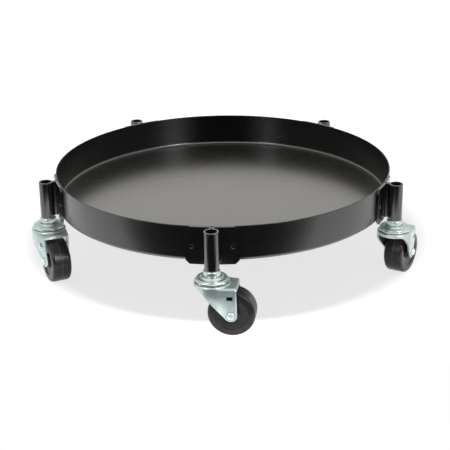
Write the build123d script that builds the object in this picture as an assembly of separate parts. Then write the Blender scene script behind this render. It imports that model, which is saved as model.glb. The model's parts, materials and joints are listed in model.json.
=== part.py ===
from build123d import *
import math
import os

# Plant pot caddy: a round sheet pan carried by five swivel casters in socket brackets.
# Millimetres and degrees. +Z is up, and Z = 0 is the upper face of the pan's floor.
# Azimuths run from +X towards +Y, and the front socket stands at -Y.

# Pan, drawn from one round sheet
pan_radius = 196.85         # outside of the wall
pan_height = 39.8           # floor's underside to rim
pan_sheet = 1.5
pan_corner = 4.5            # outside radius from floor to wall
rim_round = 0.5

# Socket brackets, each one strip bent into a tube with a flange each side
socket_count = 5
socket_standoff = 13.25     # pan wall to tube axis
strip_sheet = 2.0
bracket_drop = 2.7          # pan's underside to the tube's lower end
flange_reach = 28.3         # tube axis to flange end, along the wall
flange_corner = 4.5
neck_gap = 0.6              # between the two webs of the strip
neck_bend = 1.2             # inside radius, web to flange
tube_bend = 1.5             # outside radius, web to tube
tube_lip = 0.5
notch_width = 6.2
notch_height = 1.8
weld_reach = 22.2           # tube axis to spot weld, along the wall
weld_drop = 22.4            # rim to spot weld
weld_diameter = 5.0
weld_depth = 0.5
seat_gap = 0.05             # paint thickness between seated pieces

# Caster stem, collar and kingpin, one turned piece
stem_diameter = 11.1
stem_play = 0.45            # stem to tube, all round
stem_length = 22.2
stem_tip_round = 2.5
grip_groove_depth = 0.9
grip_groove_height = 4.4
grip_groove_drop = 5.0      # stem tip to groove
collar_diameter = 18.7
collar_height = 6.4
collar_round = 2.2
collar_foot_round = 0.8
kingpin_diameter = 8.0
peen_width = 2.0            # riveted-over end beyond the kingpin, all round
peen_height = 2.0
peen_round = 1.6

# Grip ring, a split sleeve in the stem's groove
grip_ring_height = 4.0
grip_ring_wall = 0.85
grip_ring_slot = 3.0

# Race cap, stamped, with a round crown on a low octagonal skirt
cap_across_flats = 34.6
cap_height = 5.7
cap_sheet = 1.5
cap_corner_round = 3.0
skirt_height = 2.3
skirt_round = 0.9
crown_top_radius = 10.8     # flat ring round the collar
crown_step_radius = 12.7    # foot of the step
crown_step_drop = 2.0
crown_round = 0.9
bead_radius = 16.8          # outside of the bead between step and skirt
bead_round = 1.3
cap_race_roof = 3.0         # crown's top to the ceiling over the balls

# Ball race
ball_diameter = 4.0
ball_count = 12
ball_circle_radius = 12.4
race_gap = 0.8              # cap skirt to fork
ball_play = 0.1
bore_play = 0.07            # radial clearance of a running fit
lower_washer_diameter = 17.0
lower_washer_thickness = 1.5
swivel_play = 0.3           # fork to lower washer

# Fork, pressed from one sheet
fork_sheet = 2.0
fork_bend = 3.2             # outside radius, plate to leg
race_radius = 19.6          # outside of the raised ball race
race_rise = 1.7             # race above the tail plate
race_round = 2.2
lip_depth = 3.9             # race's top to the front opening
lip_round = 9.0             # front opening to leg
bell_drop = 9.0             # plate to where the legs start to draw in
bell_steps = 4              # levels that the bell is drawn through
bell_fullness = 1.25        # above 1 the shoulders stay wide for longer
leg_lean = 0.8              # legs draw in below the axle, each side
tail_reach = 27.9           # kingpin to the plate's rear edge
tail_corner = 2.8
heel_setback = 0.9          # plate's rear edge to the legs'
tail_splay = 0.5            # plate's rear end beyond the legs, each side
leg_front = 11.4            # kingpin to the leg's front edge, level with the lip
leg_tip_radius = 7.1
axle_pad_radius = 5.0       # flat pressed round the axle hole
window_width = 6.3
window_height = 4.7
window_reach = 20.4         # kingpin to the window's centre
window_rise = 20.2          # window above the axle

# Axle and wheel
caster_trail = 21.1         # kingpin axis to axle
wheel_headroom = 4.0        # wheel to the underside of the fork's plate
wheel_side_room = 1.4       # wheel's face to leg
wheel_diameter = 50.8
wheel_width = 22.2
wheel_shoulder = 3.4        # tread edge radius
wheel_step_radius = 17.6    # inside of the raised rim face
wheel_step_depth = 0.9
web_depth = 2.1             # rim face to web at the hub
hub_diameter = 17.0
hub_round = 1.0
hub_play = 1.0              # hub to leg at the axle, each side
parting_line_width = 0.9
parting_line_height = 0.15
rivet_diameter = 6.3
rivet_head_diameter = 8.6
rivet_head_height = 2.5
rivet_dome = 2.1            # rounding of the heads
bush_diameter = 9.5
hole_play = 0.05
cut_through = 200.0         # longer than any piece that a hole passes through
hanging = (Align.CENTER, Align.CENTER, Align.MAX)  # placed by the middle of the upper face

# Where each caster stands and how it lies at rest: socket number, heading of the
# wheel from the kingpin, and turn of the octagonal cap
casters = {
    "front": (0, -5.4, 5.3),
    "right": (1, 62.1, 13.7),
    "rear_right": (2, 100.0, 22.0),
    "rear_left": (3, 165.0, 37.0),
    "left": (4, -61.8, 28.9),
}

# Levels and radii that follow from the sizes above
rim_level = pan_height - pan_sheet
tube_bore = stem_diameter + 2 * stem_play
tube_radius = tube_bore / 2 + strip_sheet
socket_radius = pan_radius + socket_standoff
flange_inner = pan_radius + seat_gap
flange_outer = flange_inner + strip_sheet
socket_foot = -pan_sheet - bracket_drop
collar_foot = socket_foot - collar_height
cap_foot = collar_foot - cap_height
race_level = cap_foot - race_gap
plate_level = race_level - race_rise
kingpin_hole = kingpin_diameter / 2 + bore_play
axle_level = plate_level - fork_sheet - wheel_headroom - wheel_diameter / 2
leg_inside = wheel_width / 2 + wheel_side_room
fork_width = 2 * (leg_inside + fork_sheet)
tail_width = fork_width + 2 * tail_splay
wheel_bore = bush_diameter / 2 + bore_play
ball_centre = collar_foot - cap_race_roof - ball_play - ball_diameter / 2
washer_level = race_level - fork_sheet - swivel_play


def revolved(points, rounds=()):
    """Turn an outline of (radius, height) points about Z. rounds lists (point number, radius)."""
    outline = make_face(Polyline(*points, close=True))
    for number, radius in rounds:
        radius_here, height_here = points[number]
        corner = outline.vertices().sort_by_distance((radius_here, height_here, 0))[0]
        outline = fillet(corner, radius)
    return revolve(Plane.XZ * outline, Axis.Z)


def make_pan():
    inner = pan_radius - pan_sheet
    outline = [
        (0, -pan_sheet),
        (pan_radius, -pan_sheet),
        (pan_radius, rim_level),
        (inner, rim_level),
        (inner, 0),
        (0, 0),
    ]
    rounds = [(1, pan_corner), (4, pan_corner - pan_sheet), (2, rim_round), (3, rim_round)]
    return revolved(outline, rounds)


def bracket_plan():
    """The strip seen from above, for a socket on the +X axis."""
    half_angle = math.degrees(flange_reach / flange_inner)
    far = flange_outer + tube_radius
    tip_x = far * math.cos(math.radians(half_angle))
    tip_y = far * math.sin(math.radians(half_angle))
    wedge = make_face(Polyline((0, 0), (tip_x, -tip_y), (far, 0), (tip_x, tip_y), close=True))
    hoop = Circle(flange_outer) - Circle(flange_inner)
    flanges = Rot(0, 0, 180) * hoop & wedge  # turned, so that the hoop's seam lies behind the pan
    neck = socket_radius - flange_inner
    neck_place = Pos(flange_inner + neck / 2, 0)
    web_side = neck_gap / 2 + strip_sheet
    plan = flanges + neck_place * Rectangle(neck, 2 * web_side)
    plan += Pos(socket_radius, 0) * Circle(tube_radius)
    near_flange = math.sqrt(flange_outer**2 - web_side**2)
    near_tube = socket_radius - math.sqrt(tube_radius**2 - web_side**2)
    for side in (-1, 1):
        for x_place, bend in ((near_flange, neck_bend), (near_tube, tube_bend)):
            corner = plan.vertices().sort_by_distance((x_place, side * web_side, 0))[0]
            plan = fillet(corner, bend)
    slot = Pos(flange_inner + (neck - strip_sheet) / 2, 0) * Rectangle(neck + strip_sheet, neck_gap)
    plan -= slot + Pos(socket_radius, 0) * Circle(tube_bore / 2)
    for side in (-1, 1):
        corner = plan.vertices().sort_by_distance((flange_inner, side * neck_gap / 2, 0))[0]
        plan = fillet(corner, neck_bend + strip_sheet)
    return plan


def make_socket_bracket():
    height = rim_level - socket_foot
    bracket = extrude(Pos(0, 0, socket_foot) * bracket_plan(), amount=height, dir=(0, 0, 1))
    ends = bracket.edges().filter_by(
        lambda edge: edge.length < flange_corner and abs(edge.center().Y) > weld_reach
    )
    bracket = chamfer(ends, flange_corner)
    rings = bracket.edges().filter_by(GeomType.CIRCLE).filter_by(
        lambda edge: tube_bore / 2 - strip_sheet < edge.radius < tube_radius + strip_sheet
    )
    bracket = fillet(rings, tube_lip)
    notch_x = (flange_outer + socket_radius - tube_radius) / 2
    notch_length = 2 * (strip_sheet + neck_bend) + neck_gap
    arch = Pos(notch_x, 0, socket_foot + notch_height - notch_width / 2)
    bracket -= arch * Rot(90, 0, 0) * Cylinder(notch_width / 2, notch_length)
    bracket -= arch * Box(notch_width, notch_length, cut_through, align=hanging)
    for side in (-1, 1):
        turn = side * math.degrees(weld_reach / flange_outer)
        dent = Cone(weld_diameter / 2 - weld_depth, weld_diameter / 2 + weld_depth, 2 * weld_depth)
        bracket -= Rot(0, 0, turn) * Pos(flange_outer, 0, rim_level - weld_drop) * Rot(0, 90, 0) * dent
    return bracket


def make_stem():
    stem = stem_diameter / 2
    stem_tip = socket_foot + stem_length
    groove_top = stem_tip - grip_groove_drop
    groove_foot = groove_top - grip_groove_height
    groove = stem - grip_groove_depth
    collar = collar_diameter / 2
    kingpin = kingpin_diameter / 2
    peen = kingpin + peen_width
    peen_level = washer_level - lower_washer_thickness
    outline = [
        (0, peen_level - peen_height),
        (peen, peen_level - peen_height),
        (peen, peen_level),
        (kingpin, peen_level),
        (kingpin, collar_foot),
        (collar, collar_foot),
        (collar, socket_foot),
        (stem, socket_foot),
        (stem, groove_foot),
        (groove, groove_foot),
        (groove, groove_top),
        (stem, groove_top),
        (stem, stem_tip),
        (0, stem_tip),
    ]
    rounds = [(1, peen_round), (5, collar_foot_round), (6, collar_round), (12, stem_tip_round)]
    return revolved(outline, rounds)


def make_grip_ring():
    groove_foot = socket_foot + stem_length - grip_groove_drop - grip_groove_height
    outer = tube_bore / 2 - seat_gap
    ring = Circle(outer) - Circle(outer - grip_ring_wall)
    ring -= Pos(outer, 0) * Rectangle(grip_ring_slot, grip_ring_slot)
    foot = groove_foot + (grip_groove_height - grip_ring_height) / 2
    return extrude(Pos(0, 0, foot) * ring, amount=grip_ring_height, dir=(0, 0, 1))


def octagon(across_flats, corner_round, top):
    side = RegularPolygon(across_flats / 2, 8, major_radius=False)
    side = fillet(side.vertices(), corner_round)
    return extrude(Pos(0, 0, cap_foot) * side, amount=top - cap_foot, dir=(0, 0, 1))


def make_race_cap():
    shoulder = cap_foot + skirt_height
    shell = octagon(cap_across_flats, cap_corner_round, shoulder)
    shell = fillet(shell.edges().group_by(Axis.Z)[-1], skirt_round)
    crown = [
        (0, cap_foot),
        (bead_radius, cap_foot),
        (bead_radius, collar_foot - crown_step_drop),
        (crown_step_radius, collar_foot - crown_step_drop),
        (crown_top_radius, collar_foot),
        (0, collar_foot),
    ]
    shell += revolved(crown, [(2, bead_round), (3, crown_round), (4, crown_round)])
    shell -= octagon(cap_across_flats - 2 * cap_sheet, cap_corner_round - cap_sheet, shoulder - cap_sheet)
    raceway = ball_circle_radius + ball_diameter / 2 + ball_play
    roof = collar_foot - cap_race_roof
    shell -= Pos(0, 0, roof) * Cylinder(raceway, cap_height, align=hanging)
    return shell - Cylinder(kingpin_diameter / 2 + hole_play, cut_through)


def make_race_balls():
    ball = Pos(ball_circle_radius, 0, ball_centre) * Sphere(ball_diameter / 2)
    return Compound(children=[Rot(0, 0, 360 / ball_count * number) * ball for number in range(ball_count)])


def make_lower_washer():
    ring = Circle(lower_washer_diameter / 2) - Circle(kingpin_diameter / 2 + hole_play)
    return extrude(Pos(0, 0, washer_level) * ring, amount=-lower_washer_thickness, dir=(0, 0, 1))


def fork_plan(radius, tail, inset, overrun):
    """Fork from above: round the kingpin, with sides that run on to the tail's width."""
    span = math.hypot(tail_reach, tail / 2)
    slant = math.atan2(tail_reach, tail / 2) - math.acos(radius / span)
    near = radius - inset
    touch = (near * math.sin(slant), near * math.cos(slant))
    end_x = tail_reach + overrun
    end_y = (near - end_x * math.sin(slant)) / math.cos(slant)
    side = [touch, (end_x, end_y), (end_x, -end_y), (touch[0], -touch[1])]
    plan = make_face(Polyline(*side, (0, 0), close=True)) + Circle(near)
    return fillet(plan.vertices().group_by(Axis.X)[-1], tail_corner - inset)


def fork_form(inset, overrun):
    """Solid form of the fork, or of its inside: a level plate, a short skirt, and a bell into the legs."""
    fold_level = plate_level - fork_bend
    bell_top = plate_level - bell_drop
    bell_foot = axle_level - leg_tip_radius - fork_sheet
    foot_width = fork_width - 2 * leg_lean
    plate = fork_plan(race_radius, tail_width, inset, 0)
    plate = extrude(Pos(0, 0, fold_level) * plate, amount=fork_bend - inset, dir=(0, 0, 1))
    plate = fillet(plate.edges().group_by(Axis.Z)[-1], fork_bend - inset - seat_gap)
    skirt = fork_plan(race_radius, tail_width, inset, overrun)
    skirt = extrude(Pos(0, 0, bell_top) * skirt, amount=fold_level - bell_top, dir=(0, 0, 1))
    levels = []
    for step in range(bell_steps + 1):
        share = step / bell_steps
        spread = 1 - share**bell_fullness
        radius = foot_width / 2 + spread * (race_radius - foot_width / 2)
        tail = foot_width + spread * (tail_width - foot_width)
        level = bell_top + share * (bell_foot - bell_top)
        levels.append(Pos(0, 0, level) * fork_plan(radius, tail, inset, overrun))
    return plate + skirt + loft(levels)


def tangent_point(point, centre, radius, side):
    """Where a line from a point touches a circle, on one side (1 or -1) of the line of centres."""
    span = math.dist(point, centre)
    towards = math.atan2(point[1] - centre[1], point[0] - centre[0])
    touch = towards + side * math.acos(radius / span)
    return (centre[0] + radius * math.cos(touch), centre[1] + radius * math.sin(touch))


def leg_outline():
    """Side view of the fork: lip, open front, and legs that run into a round tip at the axle."""
    axle = (caster_trail, axle_level)
    lip_level = race_level - lip_depth
    fold_level = plate_level - fork_bend
    front = -race_radius - fork_sheet
    front_corner = (-leg_front, lip_level)
    heel_corner = (tail_reach - heel_setback, fold_level)
    front_touch = tangent_point(front_corner, axle, leg_tip_radius, 1)
    heel_touch = tangent_point(heel_corner, axle, leg_tip_radius, -1)
    top = race_level + race_rise
    outline = make_face(
        Polyline(
            (front, top),
            (front, lip_level),
            front_corner,
            front_touch,
            axle,
            heel_touch,
            heel_corner,
            (tail_reach, fold_level),
            (tail_reach, top),
            close=True,
        )
    )
    arch = outline.vertices().sort_by_distance((*front_corner, 0))[0]
    outline = fillet(arch, lip_round) + Pos(*axle) * Circle(leg_tip_radius)
    return extrude(Plane.XZ * outline, amount=cut_through, both=True)


def across_axle(shape):
    """Lay a shape that was turned about Z along the axle."""
    return Pos(caster_trail, 0, axle_level) * Rot(90, 0, 0) * shape


def make_fork():
    boss = [
        (0, plate_level - fork_bend),
        (race_radius, plate_level - fork_bend),
        (race_radius, race_level),
        (0, race_level),
    ]
    hollow = Cylinder(race_radius - fork_sheet, lip_depth, align=hanging)
    fork = fork_form(0, 0) + revolved(boss, [(2, race_round)])
    fork -= fork_form(fork_sheet, fork_sheet) + Pos(0, 0, race_level - fork_sheet) * hollow
    fork &= leg_outline()
    fork -= Pos(0, 0, ball_centre) * Torus(ball_circle_radius, ball_diameter / 2 + seat_gap)
    fork -= Pos(0, 0, race_level) * Cylinder(kingpin_hole, 2 * lip_depth)
    fork -= across_axle(Cylinder(axle_pad_radius, cut_through))
    pad = Circle(axle_pad_radius) - Circle(rivet_diameter / 2 + hole_play)
    for side in (-1, 1):
        fork += across_axle(extrude(Pos(0, 0, side * leg_inside) * pad, amount=side * fork_sheet))
    window = Box(window_width, cut_through, window_height)
    return fork - Pos(window_reach, 0, axle_level + window_rise) * window


def make_axle_rivet():
    shank = rivet_diameter / 2
    head = rivet_head_diameter / 2
    seat = fork_width / 2
    outline = [
        (0, -seat - rivet_head_height),
        (head, -seat - rivet_head_height),
        (head, -seat),
        (shank, -seat),
        (shank, seat),
        (head, seat),
        (head, seat + rivet_head_height),
        (0, seat + rivet_head_height),
    ]
    return across_axle(revolved(outline, [(1, rivet_dome), (6, rivet_dome)]))


def make_axle_bush():
    ring = Circle(bush_diameter / 2) - Circle(rivet_diameter / 2 + hole_play)
    return across_axle(extrude(ring, amount=leg_inside - seat_gap, both=True))


def make_wheel():
    tread = wheel_diameter / 2
    face = wheel_width / 2
    hub = hub_diameter / 2
    hub_face = leg_inside - hub_play
    line = parting_line_width / 2
    half = [
        (wheel_bore, hub_face),
        (hub, hub_face),
        (hub, face - web_depth),
        (wheel_step_radius, face - wheel_step_depth),
        (wheel_step_radius, face),
        (tread, face),
        (tread, line),
        (tread + parting_line_height, 0),
    ]
    mirrored = [(radius, -height) for radius, height in reversed(half[:-1])]
    rounds = [(5, wheel_shoulder), (9, wheel_shoulder), (1, hub_round), (13, hub_round)]
    return across_axle(revolved(half + mirrored, rounds))


def main():
    os.makedirs("parts", exist_ok=True)
    export_step(make_pan(), "parts/pan.step")
    bracket = make_socket_bracket()
    held = {"stem": make_stem(), "grip_ring": make_grip_ring(), "lower_washer": make_lower_washer()}
    swivelling = {
        "race_balls": make_race_balls(),
        "fork": make_fork(),
        "axle_rivet": make_axle_rivet(),
        "axle_bush": make_axle_bush(),
        "wheel": make_wheel(),
    }
    cap = make_race_cap()
    for place, (number, heading, cap_turn) in casters.items():
        azimuth = -90 + 360 / socket_count * number
        socket = Rot(0, 0, azimuth) * Pos(socket_radius, 0, 0) * Rot(0, 0, -azimuth)
        export_step(Rot(0, 0, azimuth) * bracket, f"parts/{place}_socket_bracket.step")
        for name, shape in held.items():
            export_step(socket * Rot(0, 0, azimuth) * shape, f"parts/{place}_{name}.step")
        export_step(socket * Rot(0, 0, cap_turn) * cap, f"parts/{place}_race_cap.step")
        for name, shape in swivelling.items():
            export_step(socket * Rot(0, 0, heading) * shape, f"parts/{place}_{name}.step")


main()
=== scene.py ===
# Plant pot caddy: finishes, spun tray and wheels, stage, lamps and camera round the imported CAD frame.
# Everything is in metres, and Z = 0 is the upper face of the tray's floor.
import json
import math
import bpy
import bmesh
from mathutils import Matrix, Vector


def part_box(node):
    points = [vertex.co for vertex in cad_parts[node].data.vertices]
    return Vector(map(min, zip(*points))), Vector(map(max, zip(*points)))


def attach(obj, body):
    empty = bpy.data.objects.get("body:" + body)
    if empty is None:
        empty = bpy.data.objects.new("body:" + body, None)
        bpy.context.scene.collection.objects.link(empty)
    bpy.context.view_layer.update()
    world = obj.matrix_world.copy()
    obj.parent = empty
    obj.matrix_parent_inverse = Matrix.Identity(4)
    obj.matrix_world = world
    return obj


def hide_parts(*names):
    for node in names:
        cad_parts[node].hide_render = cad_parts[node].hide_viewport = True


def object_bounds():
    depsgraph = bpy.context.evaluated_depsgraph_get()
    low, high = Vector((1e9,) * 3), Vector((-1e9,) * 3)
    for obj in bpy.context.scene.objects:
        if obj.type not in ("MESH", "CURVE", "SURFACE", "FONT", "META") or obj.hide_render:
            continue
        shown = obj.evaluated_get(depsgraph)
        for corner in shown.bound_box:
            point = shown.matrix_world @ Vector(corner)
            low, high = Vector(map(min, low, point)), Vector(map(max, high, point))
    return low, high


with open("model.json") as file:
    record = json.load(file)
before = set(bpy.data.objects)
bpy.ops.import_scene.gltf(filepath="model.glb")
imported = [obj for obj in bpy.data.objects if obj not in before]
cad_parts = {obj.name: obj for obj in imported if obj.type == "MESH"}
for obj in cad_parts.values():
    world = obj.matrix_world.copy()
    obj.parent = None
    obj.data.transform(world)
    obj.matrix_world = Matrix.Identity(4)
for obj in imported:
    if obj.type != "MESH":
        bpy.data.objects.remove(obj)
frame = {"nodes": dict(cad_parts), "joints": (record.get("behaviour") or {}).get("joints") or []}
cadLow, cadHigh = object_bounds()
places = ("front", "right", "rear_right", "rear_left", "left")
joints = {joint["name"]: joint for joint in frame["joints"]}


def addNode(tree, kind, column, row, **settings):
    made = tree.nodes.new(kind)
    made.location = (column * 190, -row * 170)
    for name, value in settings.items():
        if name == "sockets":
            for socket, amount in value.items():
                made.inputs[socket].default_value = amount
        else:
            setattr(made, name, value)
    return made


def addMath(tree, operation, first, second, column, row, clamp=False):
    made = addNode(tree, "ShaderNodeMath", column, row, operation=operation, use_clamp=clamp)
    for number, value in enumerate((first, second)):
        if isinstance(value, (int, float)):
            made.inputs[number].default_value = value
        elif value is not None:
            tree.links.new(value, made.inputs[number])
    return made.outputs[0]


def addRange(tree, value, given, wanted, column, row, kind="SMOOTHSTEP"):
    made = addNode(tree, "ShaderNodeMapRange", column, row, interpolation_type=kind)
    tree.links.new(value, made.inputs["Value"])
    made.inputs["From Min"].default_value, made.inputs["From Max"].default_value = given
    made.inputs["To Min"].default_value, made.inputs["To Max"].default_value = wanted
    return made.outputs[0]


def addBlend(tree, factor, first, second, column, row):
    made = addNode(tree, "ShaderNodeMix", column, row, data_type="RGBA")
    for socket, value in ((0, factor), (6, first), (7, second)):
        if isinstance(value, (int, float, tuple)):
            made.inputs[socket].default_value = value
        else:
            tree.links.new(value, made.inputs[socket])
    return made.outputs[2]


def addNoise(tree, vector, scale, detail, rough, column, row):
    sockets = {"Scale": scale, "Detail": detail, "Roughness": rough}
    made = addNode(tree, "ShaderNodeTexNoise", column, row, sockets=sockets)
    tree.links.new(vector, made.inputs["Vector"])
    return made.outputs[0]


def addStretch(tree, vector, scale, column, row):
    made = addNode(tree, "ShaderNodeMapping", column, row, sockets={"Scale": scale})
    tree.links.new(vector, made.inputs["Vector"])
    return made.outputs[0]


def addSplit(tree, vector, column, row):
    made = addNode(tree, "ShaderNodeSeparateXYZ", column, row)
    tree.links.new(vector, made.inputs[0])
    return made.outputs


def addReach(tree, vector, across, column, row):
    # distance from an axis: the length of the vector in the two directions that lie across it
    flat = addNode(tree, "ShaderNodeVectorMath", column, row, operation="MULTIPLY")
    flat.inputs[1].default_value = across
    tree.links.new(vector, flat.inputs[0])
    reach = addNode(tree, "ShaderNodeVectorMath", column + 1, row, operation="LENGTH")
    tree.links.new(flat.outputs[0], reach.inputs[0])
    return reach.outputs["Value"]


def addSeen(tree, rays, column, row):
    # 1 for a ray that looks straight, by a mirror or through glass, and 0 for one that only lights
    seen = addMath(tree, "MAXIMUM", rays.outputs["Is Camera Ray"], rays.outputs["Is Glossy Ray"], column, row)
    return addMath(tree, "MAXIMUM", seen, rays.outputs["Is Transmission Ray"], column + 1, row)


def newGroup(name, inputs, outputs):
    group = bpy.data.node_groups.new(name, "ShaderNodeTree")
    group.interface.new_socket(name="Vector", in_out="INPUT", socket_type="NodeSocketVector")
    for socket, value in inputs.items():
        made = group.interface.new_socket(name=socket, in_out="INPUT", socket_type="NodeSocketFloat")
        made.default_value = value
    for socket in outputs:
        group.interface.new_socket(name=socket, in_out="OUTPUT", socket_type="NodeSocketFloat")
    start = addNode(group, "NodeGroupInput", -5, 0)
    end = addNode(group, "NodeGroupOutput", 6, 0)
    return group, start.outputs, end.inputs


def useGroup(tree, group, vector, column, row, **values):
    made = addNode(tree, "ShaderNodeGroup", column, row, node_tree=group, sockets=values)
    tree.links.new(vector, made.inputs["Vector"])
    return made.outputs


def newMaterial(name, **values):
    made = bpy.data.materials.new(name)
    made.use_nodes = True
    tree = made.node_tree
    shader = tree.nodes["Principled BSDF"]
    shader.location = (1500, 0)
    tree.nodes["Material Output"].location = (1800, 0)
    for socket, value in values.items():
        shader.inputs[socket.replace("_", " ")].default_value = value
    where = addNode(tree, "ShaderNodeTexCoord", -6, 0).outputs["Object"]
    return made, tree, shader, where


def addBump(tree, shader, height, depth):
    bump = addNode(tree, "ShaderNodeBump", 6, 4, sockets={"Distance": depth})
    tree.links.new(height, bump.inputs["Height"])
    tree.links.new(bump.outputs[0], shader.inputs["Normal"])


def makeWornLitEdges():
    # edges painted paler, partly wear and partly painted highlight: an edge shows where its rounded normal
    # leaves the true one
    group, start, end = newGroup("worn edges and painted highlight", {"Width": 0.0006, "Patches": 90.0}, ["Mask"])
    rounded = addNode(group, "ShaderNodeBevel", -4, 0, samples=6)
    group.links.new(start["Width"], rounded.inputs["Radius"])
    surface = addNode(group, "ShaderNodeNewGeometry", -4, 1)
    turned = addNode(group, "ShaderNodeVectorMath", -3, 0, operation="DOT_PRODUCT")
    group.links.new(rounded.outputs[0], turned.inputs[0])
    group.links.new(surface.outputs["Normal"], turned.inputs[1])
    edgeLine = addRange(group, turned.outputs["Value"], (0.995, 0.86), (0.0, 1.0), -2, 0)
    patches = addNode(group, "ShaderNodeTexNoise", -3, 2, sockets={"Detail": 3.0, "Roughness": 0.6})
    group.links.new(start["Vector"], patches.inputs["Vector"])
    group.links.new(start["Patches"], patches.inputs["Scale"])
    worn = addRange(group, patches.outputs[0], (0.42, 0.62), (0.15, 1.0), -2, 2)
    group.links.new(addMath(group, "MULTIPLY", edgeLine, worn, -1, 0, clamp=True), end["Mask"])
    return group


def makeDust():
    # a thin even film on faces that look up, with faint drifts
    group, start, end = newGroup("dust", {"Drifts": 30.0}, ["Mask"])
    surface = addNode(group, "ShaderNodeNewGeometry", -4, 1)
    upright = addSplit(group, surface.outputs["Normal"], -3, 1)["Z"]
    facingUp = addRange(group, upright, (0.3, 1.0), (0.0, 1.0), -2, 1)
    drifts = addNode(group, "ShaderNodeTexNoise", -3, 2, sockets={"Detail": 6.0, "Roughness": 0.65})
    group.links.new(start["Vector"], drifts.inputs["Vector"])
    group.links.new(start["Drifts"], drifts.inputs["Scale"])
    lying = addRange(group, drifts.outputs[0], (0.0, 1.0), (0.0, 1.0), -2, 2)
    group.links.new(addMath(group, "MULTIPLY", facingUp, lying, -1, 0, clamp=True), end["Mask"])
    return group


def makeCoatPeel():
    # orange peel and specks of a baked powder coat
    group, start, end = newGroup("coat peel", {"Peel": 520.0}, ["Height", "Specks"])
    peel = addNode(group, "ShaderNodeTexNoise", -3, 0, sockets={"Detail": 2.0, "Roughness": 0.45})
    group.links.new(start["Vector"], peel.inputs["Vector"])
    group.links.new(start["Peel"], peel.inputs["Scale"])
    group.links.new(peel.outputs[0], end["Height"])
    specks = addNode(group, "ShaderNodeTexVoronoi", -3, 2, feature="F1",
                     sockets={"Scale": 420.0, "Randomness": 1.0})
    group.links.new(start["Vector"], specks.inputs["Vector"])
    dots = addRange(group, specks.outputs["Distance"], (0.09, 0.03), (0.0, 1.0), -2, 2)
    group.links.new(dots, end["Specks"])
    return group


def makePlateClouds():
    # clouds, fine grain and slow tint of a zinc plate
    scales = {"Clouds": 60.0, "Grain": 900.0}
    group, start, end = newGroup("plate clouds", scales, ["Clouds", "Grain", "Tint"])
    clouds = addNode(group, "ShaderNodeTexNoise", -3, 0,
                     sockets={"Detail": 5.0, "Roughness": 0.6, "Distortion": 0.6})
    grain = addNode(group, "ShaderNodeTexNoise", -3, 1, sockets={"Detail": 3.0, "Roughness": 0.55})
    tint = addNode(group, "ShaderNodeTexNoise", -3, 2,
                   sockets={"Scale": 22.0, "Detail": 2.0, "Distortion": 1.2})
    group.links.new(start["Clouds"], clouds.inputs["Scale"])
    group.links.new(start["Grain"], grain.inputs["Scale"])
    for texture in (clouds, grain, tint):
        group.links.new(start["Vector"], texture.inputs["Vector"])
    group.links.new(addRange(group, clouds.outputs[0], (0.3, 0.7), (0.0, 1.0), -2, 0), end["Clouds"])
    group.links.new(grain.outputs[0], end["Grain"])
    group.links.new(addRange(group, tint.outputs[0], (0.35, 0.65), (0.0, 1.0), -2, 2), end["Tint"])
    return group


wornLitEdges = makeWornLitEdges()
dust = makeDust()
coatPeel = makeCoatPeel()
plateClouds = makePlateClouds()
print("shared effects: worn edges and painted highlight, dust, coat peel, plate clouds")


# black baked coat of the tray
panBlack = {
    "colour": (0.0028, 0.0028, 0.003, 1), "wornLitColour": (0.05, 0.05, 0.052, 1), "dusty": (0.09, 0.086, 0.075, 1),
    "roughness": (0.24, 0.31), "shine": 0.22,
    "gloss": 1.86, "glossRoughness": 0.24, "glossWeight": 0.8, "outsideGloss": 0.53, "floorGloss": 1.0,
    "outsideSkin": (0.0008, 0.0004),             # depths under the wall's face: gloss fades in between them
    "floorSkin": (0.004, 0.0005),                # heights over the floor: gloss fades in between them
    "dust": 0.3, "drifts": 26.0, "specks": 0.06, "wearAndHighlight": 0.55, "edgeBand": 0.0005,
    "streakStretch": (3.0, 3.0, 420.0), "streaks": 0.05, "smudges": 14.0, "peelDepth": 0.00001,
}
# the socket brackets' coat is smoother and cleaner, with no streaks
socketBlack = {
    **panBlack, "dusty": (0.03, 0.028, 0.022, 1), "roughness": (0.20, 0.26), "glossRoughness": 0.2,
    "wearAndHighlight": 0.4, "streaks": 0.0, "peelDepth": 0.000005,
}


def spreadGloss(tree, shader, where, settings, wallRadius):
    # the glossy layer is full on the floor, thinner outside and missing on the inner wall
    reach = addReach(tree, where, (1, 1, 0), -4, 9)
    skin = [wallRadius - depth for depth in settings["outsideSkin"]]
    outside = addRange(tree, reach, skin, (0.0, settings["outsideGloss"]), -2, 9)
    height = addSplit(tree, where, -4, 10)["Z"]
    floor = addRange(tree, height, settings["floorSkin"], (0.0, settings["floorGloss"]), -2, 10)
    tree.links.new(addMath(tree, "MAXIMUM", outside, floor, -1, 9), shader.inputs["Coat Weight"])


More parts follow.
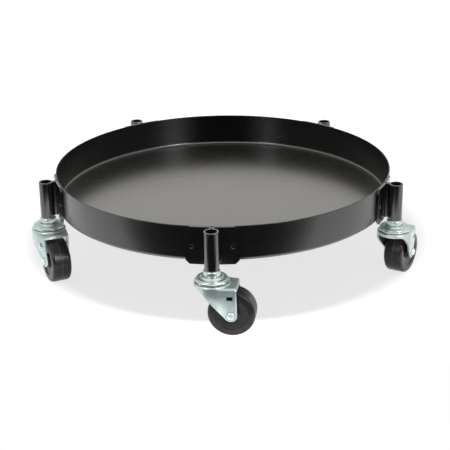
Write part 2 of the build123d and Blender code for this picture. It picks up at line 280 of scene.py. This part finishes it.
def makeBlackCoat(name, settings, wallRadius=None):
    made, tree, shader, where = newMaterial(
        name, IOR=1.5, Specular_IOR_Level=settings["shine"], Coat_IOR=settings["gloss"],
        Coat_Roughness=settings["glossRoughness"], Coat_Weight=settings["glossWeight"],
    )
    peel = useGroup(tree, coatPeel, where, -4, 0)
    rub = useGroup(tree, wornLitEdges, where, -4, 2, Width=settings["edgeBand"])
    settled = useGroup(tree, dust, where, -4, 4, Drifts=settings["drifts"])
    # faint level streaks, as the wall is drawn and wiped round
    level = addStretch(tree, where, settings["streakStretch"], -4, 6)
    streaks = addNoise(tree, level, 1.0, 3.0, 0.6, -3, 6)
    smudges = addNoise(tree, where, settings["smudges"], 4.0, 0.6, -3, 7)
    dustShare = addMath(tree, "MULTIPLY", settled["Mask"], settings["dust"], -2, 4)
    speckShare = addMath(tree, "MULTIPLY", peel["Specks"], settings["specks"], -2, 1)
    wornLitShare = addMath(tree, "MULTIPLY", rub["Mask"], settings["wearAndHighlight"], -2, 2)
    lightened = addMath(tree, "MAXIMUM", dustShare, speckShare, -1, 3)
    colour = addBlend(tree, lightened, settings["colour"], settings["dusty"], 0, 1)
    # edges painted paler: partly rubbed wear, partly painted highlight along rims and flanges
    colour = addBlend(tree, wornLitShare, colour, settings["wornLitColour"], 1, 1)
    tree.links.new(colour, shader.inputs["Base Color"])
    streakHalf = addMath(tree, "MULTIPLY", streaks, 0.5, -2, 6)
    smudgeHalf = addMath(tree, "MULTIPLY", smudges, 0.5, -2, 7)
    wiped = addMath(tree, "ADD", streakHalf, smudgeHalf, -1, 6)
    roughness = addRange(tree, wiped, (0.3, 0.7), settings["roughness"], 0, 6)
    tree.links.new(roughness, shader.inputs["Roughness"])
    if wallRadius:
        spreadGloss(tree, shader, where, settings, wallRadius)
    streakHeight = addMath(tree, "MULTIPLY", streaks, settings["streaks"], -2, 8)
    addBump(tree, shader, addMath(tree, "ADD", peel["Height"], streakHeight, 5, 4), settings["peelDepth"])
    return made


# zinc plate of the pressed fork; roughness runs from the dull patches to the bright clouds
forkZinc = {
    "cool": (0.405, 0.525, 0.54, 1), "pale": (0.69, 0.785, 0.785, 1), "warm": (0.64, 0.62, 0.53, 1),
    "soiled": (0.14, 0.13, 0.11, 1), "polished": (0.92, 0.93, 0.92, 1),
    "warming": 0.22, "soiling": 0.12, "polishing": 0.5, "edgeBand": 0.0004, "drifts": 70.0,
    "roughness": (0.50, 0.34), "metal": 0.76,
    "clouds": 45.0, "grainDepth": 0.000012, "rings": 0.0, "dents": 0.0,
}
capZinc = {**forkZinc, "roughness": (0.44, 0.32), "metal": 0.82, "clouds": 80.0}
stemZinc = {**forkZinc, "roughness": (0.36, 0.26), "clouds": 120.0, "rings": 1800.0}
# rivet heads: zinc plate, its colour painted near white as a painted highlight on the domes
rivetZincWithHighlight = {
    **forkZinc, "cool": (0.86, 0.90, 0.90, 1), "pale": (0.95, 0.97, 0.96, 1),
    "roughness": (0.36, 0.24), "metal": 0.5, "clouds": 200.0, "dents": 700.0,
}
bareSteel = {**forkZinc, "cool": (0.42, 0.42, 0.41, 1), "pale": (0.6, 0.59, 0.57, 1), "clouds": 150.0}


def makeMetal(name, settings):
    made, tree, shader, where = newMaterial(name, Metallic=settings["metal"])
    plate = useGroup(tree, plateClouds, where, -4, 0, Clouds=settings["clouds"])
    rub = useGroup(tree, wornLitEdges, where, -4, 2, Width=settings["edgeBand"])
    settled = useGroup(tree, dust, where, -4, 4, Drifts=settings["drifts"])
    tintShare = addMath(tree, "MULTIPLY", plate["Tint"], settings["warming"], -2, 1)
    dustShare = addMath(tree, "MULTIPLY", settled["Mask"], settings["soiling"], -2, 4)
    wornLitShare = addMath(tree, "MULTIPLY", rub["Mask"], settings["polishing"], -2, 2)
    colour = addBlend(tree, plate["Clouds"], settings["cool"], settings["pale"], -1, 0)
    colour = addBlend(tree, tintShare, colour, settings["warm"], 0, 0)
    colour = addBlend(tree, dustShare, colour, settings["soiled"], 1, 0)
    colour = addBlend(tree, wornLitShare, colour, settings["polished"], 2, 0)
    tree.links.new(colour, shader.inputs["Base Color"])
    roughness = addRange(tree, plate["Clouds"], (0.0, 1.0), settings["roughness"], 0, 3)
    tree.links.new(roughness, shader.inputs["Roughness"])
    height = plate["Grain"]
    if settings["rings"]:
        # fine rings left by the lathe
        stretched = addStretch(tree, where, (4.0, 4.0, settings["rings"]), -4, 6)
        rings = addNoise(tree, stretched, 1.0, 2.0, 0.5, -3, 6)
        height = addMath(tree, "ADD", height, rings, 3, 5)
    if settings["dents"]:
        # hammer marks on the rivet heads
        dents = addNode(tree, "ShaderNodeTexVoronoi", -4, 7, feature="SMOOTH_F1",
                        sockets={"Scale": settings["dents"]})
        tree.links.new(where, dents.inputs["Vector"])
        dentHeight = addMath(tree, "MULTIPLY", dents.outputs["Distance"], 5.0, -3, 7)
        height = addMath(tree, "ADD", height, dentHeight, 4, 5)
    addBump(tree, shader, height, settings["grainDepth"])
    return made


hardRubber = {
    "colour": (0.015, 0.015, 0.0145, 1), "face": (0.030, 0.029, 0.027, 1), "paleMarks": (0.10, 0.098, 0.092, 1),
    "roughness": (0.24, 0.36), "shine": 0.32, "treadShare": 0.8, "ridgeShare": 0.8,
    "treadFade": (0.0016, 0.0002),               # depths under the tread: the tread's darker colour fades in between
    "ridgeSides": (0.0005, 0.0002),              # distances from the ridge line: it lightens in between
    "scuffAndHighlight": 0.7, "edgeBand": 0.0007, "edgePatches": 160.0,
    "mottle": 130.0, "rings": 1500.0, "grainDepth": 0.00008,
}


def makeRubber(place, settings, treadRadius):
    made, tree, shader, where = newMaterial(
        "hard rubber " + place, IOR=1.5, Specular_IOR_Level=settings["shine"],
    )
    # in the wheel's own place its middle is the origin, and its axle lies along Y
    roll = joints[place + "_wheel_roll"]
    heading = math.atan2(-roll["axis"][0], roll["axis"][1])
    own = addNode(tree, "ShaderNodeMapping", -5, 0, vector_type="TEXTURE",
                  sockets={"Location": roll["pos_m"], "Rotation": (0.0, 0.0, heading)})
    tree.links.new(where, own.inputs["Vector"])
    own = own.outputs[0]
    reach = addReach(tree, own, (1, 0, 1), -3, 0)
    skin = [treadRadius - depth for depth in settings["treadFade"]]
    tread = addRange(tree, reach, skin, (0.0, 1.0), 0, 0)
    rub = useGroup(tree, wornLitEdges, own, -4, 3, Width=settings["edgeBand"], Patches=settings["edgePatches"])
    mottle = addNoise(tree, own, settings["mottle"], 5.0, 0.65, -3, 4)
    rings = addNode(tree, "ShaderNodeTexNoise", -2, 5, noise_dimensions="1D",
                    sockets={"Scale": settings["rings"], "Detail": 2.0})
    tree.links.new(reach, rings.inputs["W"])
    # the parting ridge is painted lighter along its line
    fromRidge = addMath(tree, "ABSOLUTE", addSplit(tree, own, -4, 1)["Y"], None, 1, 6)
    ridge = addRange(tree, fromRidge, settings["ridgeSides"], (0.0, settings["ridgeShare"]), 2, 6)
    ridge = addMath(tree, "MULTIPLY", ridge, tread, 3, 6)
    faceShare = addRange(tree, mottle, (0.35, 0.7), (0.0, 1.0), -1, 4)
    treadShare = addMath(tree, "MULTIPLY", tread, settings["treadShare"], 1, 1)
    wornLitShare = addMath(tree, "MULTIPLY", rub["Mask"], settings["scuffAndHighlight"], 1, 3)
    colour = addBlend(tree, faceShare, settings["face"], settings["colour"], 1, 0)
    colour = addBlend(tree, treadShare, colour, settings["colour"], 2, 0)
    # rim-step and shoulder edges painted paler: partly scuffs, partly painted highlight arcs
    colour = addBlend(tree, wornLitShare, colour, settings["paleMarks"], 3, 0)
    colour = addBlend(tree, ridge, colour, settings["paleMarks"], 4, 0)
    tree.links.new(colour, shader.inputs["Base Color"])
    roughness = addRange(tree, mottle, (0.3, 0.7), settings["roughness"], 1, 5)
    tree.links.new(roughness, shader.inputs["Roughness"])
    ringHeight = addMath(tree, "MULTIPLY", rings.outputs[0], 0.5, 2, 5)
    addBump(tree, shader, addMath(tree, "ADD", mottle, ringHeight, 3, 5), settings["grainDepth"])
    return made


panCoat = makeBlackCoat("pan black coat", panBlack, wallRadius=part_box("pan")[1].x)
socketCoat = makeBlackCoat("socket black coat", socketBlack)
forkPlate = makeMetal("fork zinc plate", forkZinc)
capPlate = makeMetal("race cap zinc plate", capZinc)
stemPlate = makeMetal("turned zinc plate", stemZinc)
rivetPlateWithHighlight = makeMetal("rivet zinc plate with painted highlight", rivetZincWithHighlight)
plainSteel = makeMetal("plain steel", bareSteel)
print("finishes made:", len(bpy.data.materials))


finishes = {
    "socket_bracket": socketCoat, "stem": stemPlate, "grip_ring": plainSteel, "lower_washer": forkPlate,
    "race_cap": capPlate, "race_balls": plainSteel, "fork": forkPlate, "axle_rivet": rivetPlateWithHighlight,
    "axle_bush": plainSteel,
}
# degrees between faces above which an edge stays sharp, and how much large faces lead the shading
creases = {"cadNodes": 28, "spunPieces": 38, "faceWeight": 80}


def makeSmoothing(limit):
    # joins the loose corners of a CAD mesh and shades it smooth up to that angle
    tree = bpy.data.node_groups.new("smooth shading", "GeometryNodeTree")
    tree.interface.new_socket(name="Geometry", in_out="INPUT", socket_type="NodeSocketGeometry")
    tree.interface.new_socket(name="Geometry", in_out="OUTPUT", socket_type="NodeSocketGeometry")
    start = addNode(tree, "NodeGroupInput", 0, 0)
    joined = addNode(tree, "GeometryNodeMergeByDistance", 1, 0, sockets={"Distance": 0.000001})
    smooth = addNode(tree, "GeometryNodeSetShadeSmooth", 2, 0, domain="FACE",
                     sockets={"Shade Smooth": True})
    angle = addNode(tree, "GeometryNodeInputMeshEdgeAngle", 1, 2)
    sharp = addMath(tree, "GREATER_THAN", angle.outputs["Unsigned Angle"], math.radians(limit), 2, 2)
    creased = addNode(tree, "GeometryNodeSetShadeSmooth", 3, 0, domain="EDGE",
                      sockets={"Shade Smooth": False})
    end = addNode(tree, "NodeGroupOutput", 4, 0)
    tree.links.new(start.outputs[0], joined.inputs["Geometry"])
    tree.links.new(joined.outputs[0], smooth.inputs["Geometry"])
    tree.links.new(smooth.outputs[0], creased.inputs["Geometry"])
    tree.links.new(sharp, creased.inputs["Selection"])
    tree.links.new(creased.outputs[0], end.inputs[0])
    return tree


def dressNode(name, material, smoothing):
    node = frame["nodes"][name]
    if not node.material_slots:
        node.data.materials.append(material)
    for holder in node.material_slots:
        holder.material = material
    node.modifiers.new("smooth shading", "NODES").node_group = smoothing


smoothTree = makeSmoothing(creases["cadNodes"])
for place in places:
    for part, material in finishes.items():
        dressNode(place + "_" + part, material, smoothTree)
print("CAD nodes dressed")


def finishPiece(name, shape, body, slotName, material, *nodes):
    bmesh.ops.recalc_face_normals(shape, faces=shape.faces)
    mesh = bpy.data.meshes.new(name)
    shape.to_mesh(mesh)
    shape.free()
    mesh.shade_smooth()
    mesh.set_sharp_from_angle(angle=math.radians(creases["spunPieces"]))
    mesh.materials.append(material)
    piece = bpy.data.objects.new(name, mesh)
    bpy.context.scene.collection.objects.link(piece)
    weighted = piece.modifiers.new("weighted normals", "WEIGHTED_NORMAL")
    weighted.keep_sharp = True
    weighted.weight = creases["faceWeight"]
    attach(piece, body)
    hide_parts(*nodes)
    return piece


def spinOutline(outline, steps, closed=False):
    # turns (across, height) points about Z
    shape = bmesh.new()
    points = [shape.verts.new((across, 0, height)) for across, height in outline]
    following = points[1:] + points[:1] if closed else points[1:]
    lines = [shape.edges.new(pair) for pair in zip(points, following)]
    bmesh.ops.spin(shape, geom=points + lines, cent=(0, 0, 0), axis=(0, 0, 1), angle=2 * math.pi,
                   steps=steps, use_merge=True)
    bmesh.ops.remove_doubles(shape, verts=shape.verts, dist=0.000005)
    return shape


def onRing(point, across, height):
    return abs(point.co.xy.length - across) < 0.00002 and abs(point.co.z - height) < 0.00002


def roundRing(shape, across, height, rounding, segments):
    # rounds the one ring of edges that lies that far from the axis, at that height
    ring = [edge for edge in shape.edges if all(onRing(point, across, height) for point in edge.verts)]
    bmesh.ops.bevel(shape, geom=ring, offset=rounding, offset_type="OFFSET", affect="EDGES",
                    segments=segments, profile=0.5, material=-1, clamp_overlap=False)


panSet = {"sheet": 0.0015, "corner": 0.0045, "rim": 0.0005, "steps": 240, "cornerSteps": 8, "rimSteps": 3}


def makePan(settings):
    low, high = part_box("pan")
    outer, inner = high.x, high.x - settings["sheet"]
    floor = low.z + settings["sheet"]
    outline = [(0, low.z), (outer, low.z), (outer, high.z), (inner, high.z), (inner, floor), (0, floor)]
    shape = spinOutline(outline, settings["steps"])
    roundRing(shape, outer, low.z, settings["corner"], settings["cornerSteps"])
    roundRing(shape, inner, floor, settings["corner"] - settings["sheet"], settings["cornerSteps"])
    roundRing(shape, outer, high.z, settings["rim"], settings["rimSteps"])
    roundRing(shape, inner, high.z, settings["rim"], settings["rimSteps"])
    return finishPiece("pan_shell", shape, "caddy_base", "pan_coat", panCoat, "pan")


wheelSet = {
    "halfWidth": 0.0111, "shoulder": 0.0034, "ridge": 0.00015, "ridgeHalf": 0.0003, "rimFace": 0.0176,
    "step": 0.0009, "web": 0.0021, "hub": 0.0085, "hubHalf": 0.0115, "bore": 0.00482, "steps": 128,
    "rimRound": 0.0003, "stepRound": 0.0004, "hubFootRound": 0.0009, "hubRound": 0.001,
}


def makeWheel(place, settings):
    # a moulded wheel: rounded shoulders, parting ridge, raised rim face, dished web and hub
    low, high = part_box(place + "_wheel")
    crest = (high.z - low.z) / 2
    tread = crest - settings["ridge"]
    face, hub, rimFace = settings["halfWidth"], settings["hub"], settings["rimFace"]
    stepFace, webFace, hubFace = face - settings["step"], face - settings["web"], settings["hubHalf"]
    half = [(settings["bore"], hubFace), (hub, hubFace), (hub, webFace), (rimFace, stepFace), (rimFace, face),
            (tread, face), (tread, settings["ridgeHalf"])]
    outline = half + [(crest, 0)] + [(across, -height) for across, height in reversed(half)]
    shape = spinOutline(outline, settings["steps"], closed=True)
    for side in (1, -1):
        roundRing(shape, tread, side * face, settings["shoulder"], 10)
        roundRing(shape, rimFace, side * face, settings["rimRound"], 3)
        roundRing(shape, rimFace, side * stepFace, settings["stepRound"], 3)
        roundRing(shape, hub, side * webFace, settings["hubFootRound"], 4)
        roundRing(shape, hub, side * hubFace, settings["hubRound"], 4)
    roll = joints[place + "_wheel_roll"]
    upToAxle = Vector(roll["axis"]).to_track_quat("Z", "Y").to_matrix()
    bmesh.ops.rotate(shape, verts=shape.verts, cent=(0, 0, 0), matrix=upToAxle)
    bmesh.ops.translate(shape, verts=shape.verts, vec=roll["pos_m"])
    rubber = makeRubber(place, hardRubber, tread)
    finishPiece(place + "_moulded_wheel", shape, place + "_roller", "wheel_rubber", rubber, place + "_wheel")


panShell = makePan(panSet)
for place in places:
    makeWheel(place, wheelSet)
print("pan and wheels turned")


stageSet = {
    "sheet": ((-3.0, -0.275), (3.0, 5.0)),       # white sheet under the caddy, seen by the camera
    "sheetWhite": 0.80, "shadeWhite": 0.72, "shadeMiddle": (0.0, 0.058, 0.0), "shadeReach": (0.264, 0.31),
    "room": ((-2.6, -2.6), (2.6, -0.275)),       # dark end of the studio, on the camera's side
    "roomDepth": 0.9, "roomHeight": 1.9, "roomDark": (0.17, 0.17, 0.17, 1),
    "world": 1.0, "fill": 0.12, "wallTone": (1.0, 0.985, 0.93, 1),
}


def makeSheetWhite(settings):
    made, tree, shader, where = newMaterial("white studio sheet", Roughness=0.9, Specular_IOR_Level=0.0)
    white = settings["sheetWhite"]
    shader.inputs["Base Color"].default_value = (white, white, white, 1)
    seen = addSeen(tree, addNode(tree, "ShaderNodeLightPath", -3, 0), -2, 0)
    # painted shadow: the glow is dimmer in a patch round the caddy, leaving that shaded patch a little grey
    middle = addNode(tree, "ShaderNodeMapping", -4, 2, vector_type="TEXTURE",
                     sockets={"Location": settings["shadeMiddle"]})
    tree.links.new(where, middle.inputs["Vector"])
    reach = addReach(tree, middle.outputs[0], (1, 1, 0), -3, 2)
    level = addRange(tree, reach, settings["shadeReach"], (settings["shadeWhite"], 1.0), -1, 2)
    glow = addNode(tree, "ShaderNodeEmission", 1, 2)
    tree.links.new(addMath(tree, "MULTIPLY", seen, level, 0, 1), glow.inputs["Strength"])
    both = addNode(tree, "ShaderNodeAddShader", 8, 1)
    tree.links.new(shader.outputs[0], both.inputs[0])
    tree.links.new(glow.outputs[0], both.inputs[1])
    tree.links.new(both.outputs[0], tree.nodes["Material Output"].inputs["Surface"])
    return made


def makeFlat(name, width, depth, middle, material, upright=False):
    shape = bmesh.new()
    bmesh.ops.create_grid(shape, x_segments=1, y_segments=1, size=0.5)
    bmesh.ops.scale(shape, verts=shape.verts, vec=(width, depth, 1))
    if upright:
        quarter = Matrix.Rotation(math.pi / 2, 3, "X")
        bmesh.ops.rotate(shape, verts=shape.verts, cent=(0, 0, 0), matrix=quarter)
    bmesh.ops.translate(shape, verts=shape.verts, vec=middle)
    mesh = bpy.data.meshes.new(name)
    shape.to_mesh(mesh)
    shape.free()
    mesh.materials.append(material)
    piece = bpy.data.objects.new(name, mesh)
    bpy.context.scene.collection.objects.link(piece)
    return piece


def makeStage(settings):
    (left, near), (right, far) = settings["sheet"]
    middle = ((left + right) / 2, (near + far) / 2, cadLow.z)
    sheet = makeFlat("studio_sheet", right - left, far - near, middle, makeSheetWhite(settings))
    # only mirrors see the dark end, in the front of the wall and in the plated parts
    dark = newMaterial("dark studio end", Roughness=0.9, Base_Color=settings["roomDark"])[0]
    (left, near), (right, far) = settings["room"]
    depth, height = settings["roomDepth"], settings["roomHeight"]
    middle = ((left + right) / 2, (near + far) / 2, cadLow.z - depth)
    ground = makeFlat("studio_room_floor", right - left, far - near, middle, dark)
    middle = ((left + right) / 2, near, cadLow.z + (height - depth) / 2)
    wall = makeFlat("studio_room_wall", right - left, depth + height, middle, dark, upright=True)
    for piece in (ground, wall):
        piece.visible_camera = False
        piece.visible_diffuse = False
        piece.visible_shadow = False
    return sheet


def makeWorld(settings):
    world = bpy.data.worlds.new("white studio")
    bpy.context.scene.world = world
    world.use_nodes = True
    tree = world.node_tree
    back = tree.nodes["Background"]
    rays = addNode(tree, "ShaderNodeLightPath", -4, 0)
    levels = (settings["fill"], settings["world"])
    strength = addRange(tree, addSeen(tree, rays, -3, 0), (0.0, 1.0), levels, -1, 0, kind="LINEAR")
    tree.links.new(strength, back.inputs["Strength"])
    # the coat and the plating mirror a slightly warm wall
    tone = addBlend(tree, rays.outputs["Is Glossy Ray"], (1, 1, 1, 1), settings["wallTone"], -1, 2)
    tree.links.new(tone, back.inputs["Color"])


# the softboxes leave out the sheet, which has a lamp of its own that only the tray shades
lampSet = {
    "topSoftbox": {"place": (0.0, 0.35, 1.6), "aim": (0, 0, 0), "size": (1.0, 1.0), "power": 2.0},
    "leftSoftbox": {"place": (-0.77, -1.20, 0.70), "aim": (0, 0, 0), "size": (0.28, 0.6), "power": 6.5},
    "rightSoftbox": {"place": (1.0, -1.15, 0.76), "aim": (0, 0, 0), "size": (0.32, 0.62), "power": 12.0},
    "sheetLamp": {
        "place": (0.004, -0.204, 0.440), "aim": (0.004, -0.204, -0.076), "size": (0.13, 0.13), "power": 2.3,
    },
}


def makeLamp(name, settings):
    data = bpy.data.lights.new(name, "AREA")
    data.shape = "RECTANGLE"
    data.size, data.size_y = settings["size"]
    data.energy = settings["power"]
    lamp = bpy.data.objects.new(name, data)
    bpy.context.scene.collection.objects.link(lamp)
    lamp.location = settings["place"]
    ahead = Vector(settings["aim"]) - Vector(settings["place"])
    lamp.rotation_euler = ahead.to_track_quat("-Z", "Y").to_euler()
    return lamp


def lightSheet(lamp, sheet, alone):
    lit = bpy.data.collections.new(lamp.name + " receivers")
    lit.objects.link(sheet)
    lamp.light_linking.receiver_collection = lit
    if alone:
        lamp.visible_glossy = lamp.visible_camera = False
        shading = bpy.data.collections.new(lamp.name + " blockers")
        shading.objects.link(panShell)
        lamp.light_linking.blocker_collection = shading
    else:
        lit.collection_objects[0].light_linking.link_state = "EXCLUDE"


cameraSet = {"place": (0.0837, -1.3570, 0.5125), "turn": 3.460, "pitch": 22.12, "roll": 0.874, "lens": 96.96}


def makeCamera(settings):
    data = bpy.data.cameras.new("camera")
    data.sensor_width = 36
    data.lens = settings["lens"]
    data.clip_start, data.clip_end = 0.05, 30
    camera = bpy.data.objects.new("camera", data)
    bpy.context.scene.collection.objects.link(camera)
    turn = Matrix.Rotation(math.radians(settings["turn"]), 4, "Z")
    tilt = Matrix.Rotation(math.radians(90 - settings["pitch"]), 4, "X")
    roll = Matrix.Rotation(math.radians(-settings["roll"]), 4, "Z")
    camera.matrix_world = Matrix.Translation(settings["place"]) @ turn @ tilt @ roll
    bpy.context.scene.camera = camera


studioSheet = makeStage(stageSet)
makeWorld(stageSet)
for lampName, lampSettings in lampSet.items():
    lightSheet(makeLamp(lampName, lampSettings), studioSheet, alone=lampName == "sheetLamp")
makeCamera(cameraSet)
bpy.context.scene.view_settings.view_transform = "Standard"
print("stage, lamps and camera ready")

bpy.context.view_layer.update()
